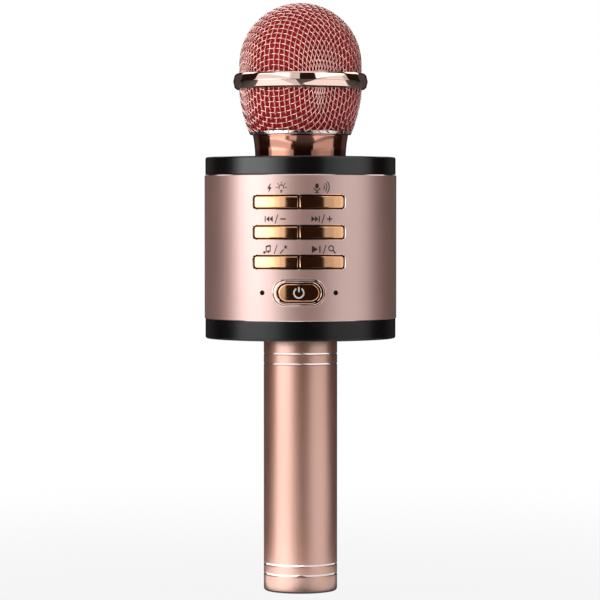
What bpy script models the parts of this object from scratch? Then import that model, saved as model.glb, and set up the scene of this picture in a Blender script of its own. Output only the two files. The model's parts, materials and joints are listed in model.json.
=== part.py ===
"""Wireless karaoke microphone: mesh head, button barrel and screw-on handle.

Built in millimetres through MM and stored in metres. +Z is up, the origin is
the centre of the flat underside, and the buttons face -Y. Every piece is its
own closed solid; pieces that meet keep a fitting gap of GAP.
"""
import bpy
import bmesh
import math
from mathutils import Matrix, Vector

MM = 0.001
GAP = 0.3                 # clearance between neighbouring pieces

# ---- driving dimensions, mm -------------------------------------------------
HEIGHT = 250.0

TUBE_R, TUBE_BORE = 15.65, 14.4        # handle tube
TUBE_TOP, TUBE_FOOT = 107.6, 0.0
GROOVES = (101.2, 96.9, 11.5, 7.3)     # diamond-cut rings on the handle
GROOVE_W, GROOVE_D = 0.9, 0.3
CAP_R, CAP_H = 14.1, 6.0               # end cap plug

BAND_R, BAND_IN = 40.45, 37.6          # smoked light bands
BAND_LOW = (107.6, 115.7)
BAND_HIGH = (177.0, 184.4)
SHELL_R, SHELL_IN = 40.8, 39.2         # barrel shell
SHELL_Z = (116.0, 176.7)
COVER_R, COVER_T = 37.3, 1.8

ROWS = (165.3, 152.8, 140.5)           # button rows
SLOT_HALF, SLOT_HIGH = 19.1, 2.95      # half chord and half height of a slot
SLOT_ROUND = 1.5
CAP_GAP = 0.45                         # cap to slot edge
CAP_FACE_R = 40.95
TRAVEL = 0.6                           # button travel

PILL_Z = 127.8                         # power button
PILL_HOLE = (10.9, 5.45)
PILL_BEZEL = (10.6, 5.15)
PILL_INNER = (9.15, 4.15)
PILL_BUTTON = (8.65, 3.65)
SPOT_X, SPOT_R = 15.2, 0.75            # two small round holes
LENS_R = 0.42

BOARD_Y, BOARD_T = -26.8, 1.6          # main circuit board, front face
SWITCH_T, SWITCH_W = 3.2, 3.0

SPK_ANGLE = 28.0                       # drivers turned out from the rear
SPK_DIST, SPK_R = 31.0, 15.3
SPK_Z = 146.4
GRILLE_HALF_DEG = 55.0                 # rear window half angle
GRILLE_Z = (122.5, 170.3)

COLLAR_Z = (184.7, 192.9)
RING_MID, RING_R = 216.5, 28.6         # plated ring of the head
DOME_R, DOME_C = 26.05, 223.95         # sphere of the upper mesh
MESH_T = 0.9
BOWL = ((22.0, 193.6), (22.3, 196.0), (23.3, 198.6), (24.1, 201.2), (24.75, 203.7),
        (25.3, 206.3), (25.75, 208.8), (26.1, 212.6))

HEAD_SEGS, BODY_SEGS, TUBE_SEGS, INNER_SEGS = 28, 44, 28, 20

# ---- scene and collections --------------------------------------------------
for old in list(bpy.data.objects):
    bpy.data.objects.remove(old, do_unlink=True)

PARTS = bpy.data.collections.new("karaoke_microphone")
CUTTERS = bpy.data.collections.new("cutters")
bpy.context.scene.collection.children.link(PARTS)
bpy.context.scene.collection.children.link(CUTTERS)


# ---- helpers ----------------------------------------------------------------
def finish_object(name, mesh, look=None):
    """Links a mesh as a part with its own material, or as a cutter."""
    ob = bpy.data.objects.new(name, mesh)
    if look is None:
        CUTTERS.objects.link(ob)
        ob.hide_render = True
        ob.display_type = "WIRE"
        return ob
    PARTS.objects.link(ob)
    colour, rough, metal = look
    mat = bpy.data.materials.new(name)
    mat.use_nodes = True
    bsdf = mat.node_tree.nodes["Principled BSDF"]
    bsdf.inputs["Base Color"].default_value = (*colour, 1.0)
    bsdf.inputs["Roughness"].default_value = rough
    bsdf.inputs["Metallic"].default_value = metal
    mat.diffuse_color = (*colour, 1.0)
    mesh.materials.append(mat)
    return ob


def turned(name, pts, look=None, segs=BODY_SEGS, solid=False):
    """Turned piece about local Z from a profile of (radius, z) points, mm.

    A solid piece's profile starts and ends on the axis; any other is a loop.
    """
    area = sum(a[0] * b[1] - b[0] * a[1] for a, b in zip(pts, pts[1:] + pts[:1]))
    pts = list(pts) if area < 0 else list(pts)[::-1]
    mesh = bpy.data.meshes.new(name)
    bm = bmesh.new()
    vs = [bm.verts.new((r * MM, 0.0, z * MM)) for r, z in pts]
    for a, b in zip(vs, vs[1:]):
        bm.edges.new((a, b))
    if not solid:
        bm.edges.new((vs[-1], vs[0]))
    bm.to_mesh(mesh)
    bm.free()
    ob = finish_object(name, mesh, look)
    screw = ob.modifiers.new("turn", "SCREW")
    screw.axis = "Z"
    screw.angle = math.tau
    screw.steps = screw.render_steps = segs
    screw.use_merge_vertices = True
    screw.merge_threshold = 0.00001
    screw.use_smooth_shade = False
    return ob


def outline(name, pts, half, look=None, upright=False):
    """Flat outline in mm, extruded by half to each side of its plane.

    Upright turns the outline into the XZ plane, so that it runs along Y.
    """
    cu = bpy.data.curves.new(name + "_outline", "CURVE")
    cu.dimensions = "2D"
    cu.fill_mode = "BOTH"
    cu.extrude = half * MM
    sp = cu.splines.new("POLY")
    sp.points.add(len(pts) - 1)
    for p, (x, y) in zip(sp.points, pts):
        p.co = (x * MM, y * MM, 0.0, 1.0)
    sp.use_cyclic_u = True
    tmp = bpy.data.objects.new(name + "_outline", cu)
    bpy.context.scene.collection.objects.link(tmp)
    mesh = bpy.data.meshes.new_from_object(
        tmp.evaluated_get(bpy.context.evaluated_depsgraph_get()))
    mesh.name = name
    bpy.data.objects.remove(tmp, do_unlink=True)
    bm = bmesh.new()
    bm.from_mesh(mesh)
    bmesh.ops.remove_doubles(bm, verts=bm.verts, dist=1e-7)
    bmesh.ops.recalc_face_normals(bm, faces=bm.faces)
    bm.to_mesh(mesh)
    bm.free()
    if upright:
        mesh.transform(Matrix.Rotation(math.pi / 2, 4, "X"))
    return finish_object(name, mesh, look)


def block(name, size, at, look=None):
    """Box of the given size, mm, centred at a place, mm."""
    mesh = bpy.data.meshes.new(name)
    bm = bmesh.new()
    bmesh.ops.create_cube(bm, size=1.0)
    bmesh.ops.scale(bm, vec=Vector(size) * MM, verts=bm.verts)
    bm.to_mesh(mesh)
    bm.free()
    ob = finish_object(name, mesh, look)
    ob.location = Vector(at) * MM
    return ob


def rod(name, radius, length, at, look=None, segs=16, along="Z"):
    """Cylinder centred at a place, mm, along Y or Z."""
    mesh = bpy.data.meshes.new(name)
    bm = bmesh.new()
    bmesh.ops.create_cone(bm, cap_ends=True, segments=segs, radius1=radius * MM,
                          radius2=radius * MM, depth=length * MM)
    bm.to_mesh(mesh)
    bm.free()
    if along == "Y":
        mesh.transform(Matrix.Rotation(math.pi / 2, 4, "X"))
    ob = finish_object(name, mesh, look)
    ob.location = Vector(at) * MM
    return ob


def boolean(ob, other, how):
    mod = ob.modifiers.new(how.lower(), "BOOLEAN")
    mod.operation = how
    mod.solver = "EXACT"
    mod.object = other


def rounded(x0, x1, y0, y1, radii, n=4):
    """Rectangle with its own radius at each corner, from low-low, turning left."""
    pts = []
    corners = ((x0, y0, 180), (x1, y0, 270), (x1, y1, 0), (x0, y1, 90))
    for (x, y, a0), r in zip(corners, radii):
        if r <= 0:
            pts.append((x, y))
            continue
        cx = x + (r if x == x0 else -r)
        cy = y + (r if y == y0 else -r)
        for i in range(n + 1):
            a = math.radians(a0 + 90.0 * i / n)
            pts.append((cx + r * math.cos(a), cy + r * math.sin(a)))
    return pts


def pill(size, n=8):
    w, h = size
    return rounded(-w, w, -h, h, (h - 0.02,) * 4, n)


def on_wall(x, radius):
    """Y of the front wall of a cylinder at a chord offset x."""
    return -math.sqrt(radius * radius - x * x)


# ---- looks: colour, roughness, metallic ------------------------------------
ROSE = ((0.62, 0.40, 0.37), 0.30, 1.0)
COPPER = ((0.60, 0.33, 0.25), 0.30, 1.0)
PLATED = ((0.80, 0.60, 0.54), 0.08, 1.0)
GOLD = ((0.83, 0.62, 0.33), 0.08, 1.0)
WIRE = ((0.80, 0.66, 0.63), 0.30, 1.0)
FOAM = ((0.55, 0.04, 0.06), 0.95, 0.0)
SMOKE = ((0.02, 0.02, 0.02), 0.25, 0.0)
BLACK = ((0.03, 0.03, 0.03), 0.50, 0.0)
GREY = ((0.30, 0.30, 0.31), 0.50, 0.0)
RUBBER = ((0.02, 0.02, 0.02), 0.80, 0.0)
GREEN = ((0.02, 0.16, 0.06), 0.45, 0.0)
STEEL = ((0.55, 0.55, 0.56), 0.30, 1.0)
NICKEL = ((0.70, 0.68, 0.62), 0.20, 1.0)
PAPER = ((0.06, 0.06, 0.06), 0.85, 0.0)
CELL = ((0.10, 0.25, 0.50), 0.40, 0.0)
CLEAR = ((0.05, 0.05, 0.06), 0.10, 0.0)

# ---- handle -----------------------------------------------------------------
wall = [(TUBE_R - 0.5, TUBE_TOP), (TUBE_R, TUBE_TOP - 0.5)]
for z in GROOVES:
    wall += [(TUBE_R, z + GROOVE_W / 2), (TUBE_R - GROOVE_D, z), (TUBE_R, z - GROOVE_W / 2)]
wall += [(TUBE_R, TUBE_FOOT + 0.7), (TUBE_R - 0.5, TUBE_FOOT)]
turned("handle_tube", wall + [(TUBE_BORE, TUBE_FOOT), (TUBE_BORE, TUBE_TOP)], COPPER, TUBE_SEGS)

turned("end_cap", [(0, CAP_H), (4.2, CAP_H), (4.2, CAP_H - 2.2), (CAP_R - 1.4, CAP_H - 2.2),
                   (CAP_R - 1.4, CAP_H), (CAP_R, CAP_H), (CAP_R, 0.4), (CAP_R - 0.4, 0.0), (0, 0.0)],
       BLACK, INNER_SEGS, solid=True)

CELL_R, CELL_Z = 9.2, (22.0, 86.2)
turned("battery_cell", [(0, CELL_Z[1] + 1.3), (3.2, CELL_Z[1] + 1.3), (3.4, CELL_Z[1]),
                        (CELL_R - 0.6, CELL_Z[1]), (CELL_R, CELL_Z[1] - 0.6),
                        (CELL_R, CELL_Z[0] + 0.6), (CELL_R - 0.6, CELL_Z[0]), (0, CELL_Z[0])],
       CELL, INNER_SEGS, solid=True)
turned("battery_sleeve", [(TUBE_BORE - GAP, 90.0), (TUBE_BORE - GAP, 14.0),
                          (CELL_R + GAP, 14.0), (CELL_R + GAP, 90.0)], BLACK, INNER_SEGS)

# Conical contact spring: a round wire coiled up from the end cap to the cell.
SPRING_TURNS, SPRING_WIRE = 3.5, 0.45
spring_low = CAP_H + GAP + SPRING_WIRE
spring_high = CELL_Z[0] - GAP - SPRING_WIRE
cu = bpy.data.curves.new("battery_spring", "CURVE")
cu.dimensions = "3D"
cu.bevel_depth = SPRING_WIRE * MM
cu.bevel_resolution = 1
cu.use_fill_caps = True
steps = int(10 * SPRING_TURNS)
sp = cu.splines.new("POLY")
sp.points.add(steps)
for i, p in enumerate(sp.points):
    t = i / steps
    a = math.tau * SPRING_TURNS * t
    r = (7.5 - 2.5 * t) * MM
    ends = min(1.0, max(0.0, (t - 0.14) / 0.72))     # closed end turns lie flat
    p.co = (r * math.cos(a), r * math.sin(a),
            (spring_low + (spring_high - spring_low) * ends) * MM, 1.0)
coil = bpy.data.objects.new("coil_guide", cu)
bpy.context.scene.collection.objects.link(coil)
coil_mesh = bpy.data.meshes.new_from_object(
    coil.evaluated_get(bpy.context.evaluated_depsgraph_get()))
coil_mesh.name = "battery_spring"
bpy.data.objects.remove(coil, do_unlink=True)
bm = bmesh.new()
bm.from_mesh(coil_mesh)
bmesh.ops.remove_doubles(bm, verts=bm.verts, dist=1e-6)
bmesh.ops.recalc_face_normals(bm, faces=bm.faces)
bm.to_mesh(coil_mesh)
bm.free()
coil_mesh.materials.clear()
finish_object("battery_spring", coil_mesh, NICKEL)

# Threaded neck that the handle screws on; its web carries the contact.
NECK_R, NECK_IN = 13.9, 12.0
turned("handle_neck", [(21.0, 112.0), (21.0, 110.0), (NECK_R, 110.0), (NECK_R, 101.9),
                       (NECK_R - 0.6, 101.4), (3.0, 101.4), (3.0, 103.0), (NECK_IN, 103.0),
                       (NECK_IN, 112.0)], BLACK, 24)
turned("contact_plate", [(0, 100.9), (2.6, 100.9), (2.6, 91.6), (7.5, 91.0), (7.5, 90.4), (0, 90.4)],
       NICKEL, INNER_SEGS, solid=True)

# ---- barrel covers and bands --------------------------------------------------
z0, z1 = BAND_LOW
turned("light_band_bottom", [(BAND_R, z1), (BAND_R, z0 + 0.8), (BAND_R - 0.8, z0), (BAND_IN, z0),
                             (BAND_IN, z1 + 2.6), (BAND_IN + 1.2, z1 + 2.6), (BAND_IN + 1.2, z1)],
       SMOKE, BODY_SEGS)
z0, z1 = BAND_HIGH
turned("light_band_top", [(BAND_R - 0.8, z1), (BAND_R, z1 - 0.8), (BAND_R, z0), (BAND_IN + 1.2, z0),
                          (BAND_IN + 1.2, z0 - 2.6), (BAND_IN, z0 - 2.6), (BAND_IN, z1)],
       SMOKE, BODY_SEGS)

low = BAND_LOW[0] + GAP
high = BAND_HIGH[1] - GAP
bottom_cover = turned("bottom_cover", [(COVER_R, low), (COVER_R, low + COVER_T),
                                       (NECK_R + GAP, low + COVER_T), (NECK_R + GAP, low)],
                      BLACK, BODY_SEGS)
turned("top_cover", [(COVER_R, high), (COVER_R, high - COVER_T), (16.6, high - COVER_T),
                     (16.6, high)], BLACK, BODY_SEGS)
turned("led_board_bottom", [(37.0, 111.2), (37.0, 110.0), (30.5, 110.0), (30.5, 111.2)],
       GREEN, HEAD_SEGS)
turned("led_board_top", [(37.0, 181.9), (37.0, 180.7), (24.0, 180.7), (24.0, 181.9)], GREEN, HEAD_SEGS)

# ---- barrel shell -------------------------------------------------------------
z0, z1 = SHELL_Z
shell = turned("barrel_shell", [(SHELL_R - 0.35, z1), (SHELL_R, z1 - 0.35), (SHELL_R, z0 + 0.35),
                                (SHELL_R - 0.35, z0), (SHELL_IN, z0), (SHELL_IN, z1)], ROSE, 60)
for i, z in enumerate(ROWS):
    cut = outline("slot_cut_%d" % (i + 1),
                  rounded(-SLOT_HALF, SLOT_HALF, -SLOT_HIGH, SLOT_HIGH, (SLOT_ROUND,) * 4),
                  6.0, upright=True)
    cut.location = Vector((0, -38.0, z)) * MM
    boolean(shell, cut, "DIFFERENCE")
cut = outline("pill_cut", pill(PILL_HOLE), 6.0, upright=True)
cut.location = Vector((0, -38.0, PILL_Z)) * MM
boolean(shell, cut, "DIFFERENCE")
for side, sx in (("left", -1), ("right", 1)):
    cut = rod("spot_cut_" + side, SPOT_R, 8.0, (sx * SPOT_X, -38.0, PILL_Z), segs=12, along="Y")
    boolean(shell, cut, "DIFFERENCE")

# Rear window: a rounded rectangle rolled round the barrel and cut radially.
def rolled_outline(half_deg, z_low, z_high, corner, radius):
    half = math.radians(half_deg) * 40.0
    pts = rounded(-half, half, z_low, z_high, (corner,) * 4, 4)
    full = []
    for (ax, az), (bx, bz) in zip(pts, pts[1:] + pts[:1]):
        n = max(1, int(abs(bx - ax) / 6.0))
        full += [(ax + (bx - ax) * k / n, az + (bz - az) * k / n) for k in range(n)]
    return [(radius * math.sin(u / 40.0), radius * math.cos(u / 40.0), z) for u, z in full]

bm = bmesh.new()
rings = []
for radius in (30.0, 85.0):
    rings.append([bm.verts.new(Vector(p) * MM) for p in rolled_outline(
        GRILLE_HALF_DEG, GRILLE_Z[0], GRILLE_Z[1], 5.0, radius)])
n = len(rings[0])
for i in range(n):
    j = (i + 1) % n
    bm.faces.new((rings[0][i], rings[0][j], rings[1][j], rings[1][i]))
bm.faces.new(rings[0])
bm.faces.new(rings[1])
bmesh.ops.triangulate(bm, faces=bm.faces)
bmesh.ops.recalc_face_normals(bm, faces=bm.faces)
mesh = bpy.data.meshes.new("window_cut")
bm.to_mesh(mesh)
bm.free()
boolean(shell, finish_object("window_cut", mesh), "DIFFERENCE")

# Speaker grille: a rolled sheet behind the window, with a field of holes
# in front of each driver.
GR_R, GR_T = SHELL_IN - GAP, 1.0
bm = bmesh.new()
cols = 18
rows_z = (GRILLE_Z[0] - 2.4, GRILLE_Z[1] + 2.4)
grid = []
for i in range(cols + 1):
    a = math.radians(-(GRILLE_HALF_DEG + 3.5) + 2 * (GRILLE_HALF_DEG + 3.5) * i / cols)
    grid.append([bm.verts.new((GR_R * math.sin(a) * MM, GR_R * math.cos(a) * MM, z * MM))
                 for z in rows_z])
for a, b in zip(grid, grid[1:]):
    bm.faces.new((a[0], a[1], b[1], b[0]))
mesh = bpy.data.meshes.new("speaker_grille")
bm.to_mesh(mesh)
bm.free()
grille = finish_object("speaker_grille", mesh, GREY)
solid = grille.modifiers.new("sheet", "SOLIDIFY")
solid.thickness = GR_T * MM
solid.offset = -1.0 if mesh.polygons[0].normal.y > 0 else 1.0
bm = bmesh.new()
for sx in (-1, 1):
    for ring in range(2):
        count = 1 if ring == 0 else 6 * ring
        for k in range(count):
            a = math.tau * k / count
            u, dz = 7.5 * ring * math.cos(a), 7.5 * ring * math.sin(a)
            az = math.radians(sx * SPK_ANGLE) + u / GR_R
            turn = Vector((math.sin(az), math.cos(az), 0.0)).to_track_quat("Z", "Y")
            at = Matrix.Translation(Vector((GR_R * math.sin(az), GR_R * math.cos(az),
                                            SPK_Z + dz)) * MM)
            bmesh.ops.create_cone(bm, cap_ends=True, segments=8, radius1=2.4 * MM,
                                  radius2=2.4 * MM, depth=5.0 * MM,
                                  matrix=at @ turn.to_matrix().to_4x4())
mesh = bpy.data.meshes.new("sound_holes_cut")
bm.to_mesh(mesh)
bm.free()
boolean(grille, finish_object("sound_holes_cut", mesh), "DIFFERENCE")

# ---- loudspeakers ---------------------------------------------------------------
baffle_pts = []
outer, inner = SPK_DIST - 1.7, SPK_DIST - 3.2
def baffle_at(dist, lateral, sx):
    a = math.radians(SPK_ANGLE)
    return (sx * (dist * math.sin(a) + lateral * math.cos(a)),
            dist * math.cos(a) - lateral * math.sin(a))
def baffle_apex(dist):
    return (0.0, dist / math.cos(math.radians(SPK_ANGLE)))
baffle_pts = [baffle_apex(outer), baffle_at(outer, 17.0, -1), baffle_at(inner, 17.0, -1),
              baffle_apex(inner), baffle_at(inner, 17.0, 1), baffle_at(outer, 17.0, 1)]
baffle = outline("speaker_baffle", baffle_pts, 18.5, BLACK)
baffle.location = Vector((0, 0, SPK_Z)) * MM
for side, sx in (("left", -1), ("right", 1)):
    a = math.radians(SPK_ANGLE)
    aim = Vector((sx * math.sin(a), math.cos(a), 0.0))
    at = aim * SPK_DIST + Vector((0, 0, SPK_Z))
    turn = aim.to_track_quat("Z", "Y")
    frame = turned("speaker_frame_" + side,
                   [(SPK_R, 0.0), (SPK_R, -1.4), (14.0, -1.4), (13.2, -2.6), (9.6, -7.5),
                    (8.2, -7.5), (12.2, -1.6), (12.6, 0.0)], STEEL, INNER_SEGS)
    cone = turned("speaker_cone_" + side,
                  [(0, -2.8), (4.2, -4.4), (9.4, -1.9), (11.8, -0.5),
                   (11.9, -1.1), (9.6, -2.6), (4.2, -5.2), (0, -3.6)],
                  PAPER, INNER_SEGS, solid=True)
    magnet = turned("speaker_magnet_" + side,
                    [(0, -7.8), (8.4, -7.8), (8.4, -13.6), (0, -13.6)], STEEL, INNER_SEGS, solid=True)
    for ob in (frame, cone, magnet):
        ob.rotation_mode = "QUATERNION"
        ob.rotation_quaternion = turn
        ob.location = at * MM
    hole = rod("baffle_cut_" + side, 14.4, 12.0, (0, 0, 0), segs=24)
    hole.rotation_mode = "QUATERNION"
    hole.rotation_quaternion = turn
    hole.location = (aim * (SPK_DIST - 3.0) + Vector((0, 0, SPK_Z))) * MM
    boolean(baffle, hole, "DIFFERENCE")

# ---- chassis, main board and switches -------------------------------------------
BOARD_BACK = BOARD_Y + BOARD_T
CHASSIS_Y = (-22.4, -20.4)
SCREWS = [(sx * 22.5, z) for z in (122.0, 171.0) for sx in (-1, 1)]
board = block("main_board", (51.0, BOARD_T, 54.0), (0, BOARD_Y + BOARD_T / 2, 146.5), GREEN)
chassis = block("chassis", (56.0, CHASSIS_Y[1] - CHASSIS_Y[0], 56.0),
                (0, sum(CHASSIS_Y) / 2, 146.5), GREY)
for i, (x, z) in enumerate(SCREWS):
    post = rod("post_%d" % (i + 1), 2.6, CHASSIS_Y[0] - BOARD_BACK - GAP + 0.5,
               (x, (BOARD_BACK + GAP + CHASSIS_Y[0] + 0.5) / 2, z), segs=10, along="Y")
    boolean(chassis, post, "UNION")
ribs = [block("rib_%d" % (i + 1), (1.6, 5.0, 50.0), (x, CHASSIS_Y[1] + 2.3, 146.5))
        for i, x in enumerate((-20.0, 20.0))]
for rib in ribs:
    boolean(chassis, rib, "UNION")
for i, (x, z) in enumerate(SCREWS):
    hole = rod("screw_cut_%d" % (i + 1), 1.25, 12.0, (x, -23.5, z), segs=8, along="Y")
    boolean(board, hole, "DIFFERENCE")
    boolean(chassis, hole, "DIFFERENCE")
    screw = turned("chassis_screw_%d" % (i + 1),
                   [(0, 1.6), (1.5, 1.6), (2.1, 1.0), (2.1, 0.0), (0.95, 0.0), (0.95, -7.4), (0, -7.8)],
                   STEEL, 8, solid=True)
    screw.rotation_mode = "QUATERNION"
    screw.rotation_quaternion = Vector((0, -1, 0)).to_track_quat("Z", "Y")
    screw.location = Vector((x, BOARD_Y - GAP, z)) * MM

SWITCH_FACE = BOARD_Y - GAP - SWITCH_T         # y of a switch's front
STEM_TIP = SWITCH_FACE - TRAVEL - GAP          # y of a stem's tip at rest

def tact_switch(name, x, z):
    block(name, (2 * SWITCH_W, SWITCH_T, 2 * SWITCH_W),
          (x, BOARD_Y - GAP - SWITCH_T / 2, z), STEEL)

# ---- push buttons ---------------------------------------------------------------
# A cap's face and its retaining flange are slices of rings round the barrel's
# axis, so both follow the shell.
face_ring = turned("face_ring_cut", [(CAP_FACE_R, 190), (CAP_FACE_R, 110), (37.3, 110), (37.3, 190)],
                   None, 120)
flange_ring = turned("flange_ring_cut", [(38.6, 190), (38.6, 110), (36.8, 110), (36.8, 190)],
                     None, 60)

def push_button(name, x0, x1, z, half, radii, flange_x, flange_z, look, n=4):
    """Cap from x0 to x1 at height z, with its flange and the stem to its switch."""
    xc = (x0 + x1) / 2
    at = Vector((xc, -38.5, z)) * MM
    if radii is None:
        pts = pill((half[0], half[1]), n)
    else:
        pts = rounded(x0 - xc, x1 - xc, -half[1], half[1], radii, n)
    cap = outline(name, pts, 6.0, look, upright=True)
    cap.location = at
    boolean(cap, face_ring, "INTERSECT")
    fx0, fx1 = flange_x
    flange = block(name + "_flange", (fx1 - fx0, 12.0, 2 * flange_z), ((fx0 + fx1) / 2, -38.5, z))
    boolean(flange, flange_ring, "INTERSECT")
    boolean(cap, flange, "UNION")
    back = on_wall(xc, 37.7)
    stem = rod(name + "_stem", 1.5, STEM_TIP - back, (xc, (STEM_TIP + back) / 2, z),
               segs=10, along="Y")
    boolean(cap, stem, "UNION")
    tact_switch(name.replace("button", "switch"), xc, z)
    return cap

edge = SLOT_HALF - CAP_GAP
mid = 0.28
names = (("flash_button", "echo_button"), ("previous_button", "next_button"),
         ("music_button", "play_button"))
for (left, right), z in zip(names, ROWS):
    hh = SLOT_HIGH - CAP_GAP
    r = SLOT_ROUND - 0.35
    push_button(left, -edge, -mid, z, (0, hh), (r, 0, 0, r),
                (-edge - 0.5, -0.9), SLOT_HIGH + 1.0, GOLD)
    push_button(right, mid, edge, z, (0, hh), (0, r, r, 0),
                (0.9, edge + 0.5), SLOT_HIGH + 1.0, GOLD)
push_button("power_button", -PILL_BUTTON[0], PILL_BUTTON[0], PILL_Z, PILL_BUTTON, None,
            (-PILL_BUTTON[0] - 1.2, PILL_BUTTON[0] + 1.2), PILL_BUTTON[1] + 1.2, GOLD, 6)

bezel = outline("power_bezel", pill(PILL_BEZEL, 6), 6.0, PLATED, upright=True)
bezel.location = Vector((0, -40.0, PILL_Z)) * MM
bezel_ring = turned("bezel_ring_cut", [(41.25, 190), (41.25, 110), (39.0, 110), (39.0, 190)],
                    None, 96)
boolean(bezel, bezel_ring, "INTERSECT")
hole = outline("bezel_cut", pill(PILL_INNER, 6), 8.0, upright=True)
hole.location = Vector((0, -40.0, PILL_Z)) * MM
boolean(bezel, hole, "DIFFERENCE")

for side, sx in (("left", -1), ("right", 1)):
    front = on_wall(sx * SPOT_X, SHELL_R) + 0.7
    wide = on_wall(sx * SPOT_X, SHELL_IN) + 1.2
    pipe = turned("indicator_lens_" + side,
                  [(0, -front), (LENS_R, -front), (LENS_R, -wide), (1.4, -wide),
                   (1.4, -(BOARD_Y - GAP)), (0, -(BOARD_Y - GAP))], CLEAR, 12, solid=True)
    pipe.rotation_mode = "QUATERNION"
    pipe.rotation_quaternion = Vector((0, -1, 0)).to_track_quat("Z", "Y")
    pipe.location = Vector((sx * SPOT_X, 0, PILL_Z)) * MM

# ---- sockets in the bottom cover --------------------------------------------------
PORT_X, PORT_Y = 9.0, 25.0
block("port_board", (40.0, 8.6, 1.4), (0, PORT_Y, 119.6), GREEN)
usb = outline("usb_socket", rounded(-4.6, 4.6, -1.9, 1.9, (1.4,) * 4, 3), 5.3, NICKEL)
usb.location = Vector((-PORT_X, PORT_Y, 108.0 + 5.3)) * MM
cut = outline("usb_cut", rounded(-4.1, 4.1, -1.4, 1.4, (1.0,) * 4, 3), 5.3)
cut.location = Vector((-PORT_X, PORT_Y, 108.0 + 4.3)) * MM
boolean(usb, cut, "DIFFERENCE")
cut = outline("usb_way_cut", rounded(-4.9, 4.9, -2.2, 2.2, (1.6,) * 4, 3), 6.0)
cut.location = Vector((-PORT_X, PORT_Y, 108.0)) * MM
boolean(bottom_cover, cut, "DIFFERENCE")

jack = turned("audio_jack", [(0, 10.6), (3.4, 10.6), (3.4, 0.0), (1.8, 0.0), (1.8, 9.6), (0, 9.6)],
              BLACK, 16, solid=True)
jack.location = Vector((PORT_X, PORT_Y, 108.0)) * MM
cut = rod("jack_way_cut", 3.7, 12.0, (PORT_X, PORT_Y, 108.0), segs=16)
boolean(bottom_cover, cut, "DIFFERENCE")

# ---- head -------------------------------------------------------------------------
z0, z1 = COLLAR_Z
turned("neck_collar", [(19.8, z0), (20.1, 187.2), (20.7, 190.4), (21.3, 192.0), (21.3, 192.6),
                       (21.0, z1), (19.8, z1), (19.8, 191.4), (17.6, 191.4), (17.6, 186.0),
                       (14.4, 186.0), (14.4, 178.6), (16.3, 178.6), (16.3, z0)], PLATED, HEAD_SEGS)
turned("neck_nut", [(21.5, 182.0), (21.5, 178.9), (16.8, 178.9), (16.8, 182.0)], STEEL, 24)
turned("head_gasket", [(19.5, 192.9), (19.5, 191.7), (17.9, 191.7), (17.9, 192.9)], RUBBER, 24)
turned("grille_thread_ring", [(20.8, 194.6), (20.8, 193.2), (17.3, 193.2), (17.3, 187.6),
                              (16.0, 187.6), (16.0, 194.6)], PLATED, 24)

def inset(pts, amount):
    """Profile points moved inwards, square to the curve."""
    res = []
    for i, (r, z) in enumerate(pts):
        a = pts[max(0, i - 1)]
        b = pts[min(len(pts) - 1, i + 1)]
        dr, dz = b[0] - a[0], b[1] - a[1]
        ln = math.hypot(dr, dz)
        res.append((max(0.0, r - amount * dz / ln), z + amount * dr / ln))
    return res

bowl_in = inset(BOWL, MESH_T)[::2] + inset(BOWL, MESH_T)[-1:]
turned("grille_bowl", list(BOWL) + bowl_in[::-1], WIRE, HEAD_SEGS)

def dome(radius, foot, n=9):
    """Cylinder foot and a half sphere, from the foot up to the pole."""
    pts = [(radius, foot)]
    for i in range(n + 1):
        a = math.pi / 2 * i / n
        pts.append((radius * math.cos(a) if i < n else 0.0, DOME_C + radius * math.sin(a)))
    return pts

foot = RING_MID + 3.7
outer_pts = dome(DOME_R, foot)
inner_pts = dome(DOME_R - MESH_T, foot, 7)
turned("grille_dome", outer_pts[::-1] + inner_pts, WIRE, HEAD_SEGS, solid=True)

turned("grille_band", [(26.5, RING_MID - 3.4), (28.0, RING_MID - 2.6), (RING_R, RING_MID),
                       (28.0, RING_MID + 2.6), (26.5, RING_MID + 3.4), (25.4, RING_MID + 3.4),
                       (25.4, RING_MID - 3.4)], PLATED, HEAD_SEGS)

# Foam liner: a thick cup that follows the mesh, open below for the capsule.
foam_out = [p for p in inset(BOWL[::2], MESH_T + 0.45) if p[1] < 213]
foam_out = [(r, z + 1.4 if i == 0 else z) for i, (r, z) in enumerate(foam_out)]
foam_out = [(min(r, 24.9), z) for r, z in foam_out] + dome(DOME_R - MESH_T - 0.4, foot, 6)
foam_in = [(15.6, foam_out[0][1]), (15.6, 200.0), (17.6, 204.0), (17.6, 224.0)]
foam_in += [(17.6 * math.cos(math.pi / 2 * i / 4) if i < 4 else 0.0,
             224.0 + 17.6 * math.sin(math.pi / 2 * i / 4)) for i in range(1, 5)]
turned("foam_liner", foam_out[::-1] + foam_in, FOAM, INNER_SEGS, solid=True)

turned("capsule_stem", [(17.0, 187.3), (17.0, 186.3), (14.1, 186.3), (14.1, 180.2), (6.0, 180.2),
                        (6.0, 198.0), (8.0, 198.0), (8.0, 187.3)], BLACK, INNER_SEGS)
turned("capsule_mount", [(14.6, 212.6), (14.6, 198.3), (5.0, 198.3), (5.0, 200.4), (12.6, 200.4),
                         (12.6, 212.6)], RUBBER, INNER_SEGS)
turned("mic_capsule", [(0, 213.8), (11.0, 213.8), (12.3, 212.8), (12.3, 200.7), (0, 200.7)],
       NICKEL, INNER_SEGS, solid=True)
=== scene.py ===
import json
import math
import bpy
import bmesh
import numpy as np
from mathutils import Matrix, Vector, noise


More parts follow.
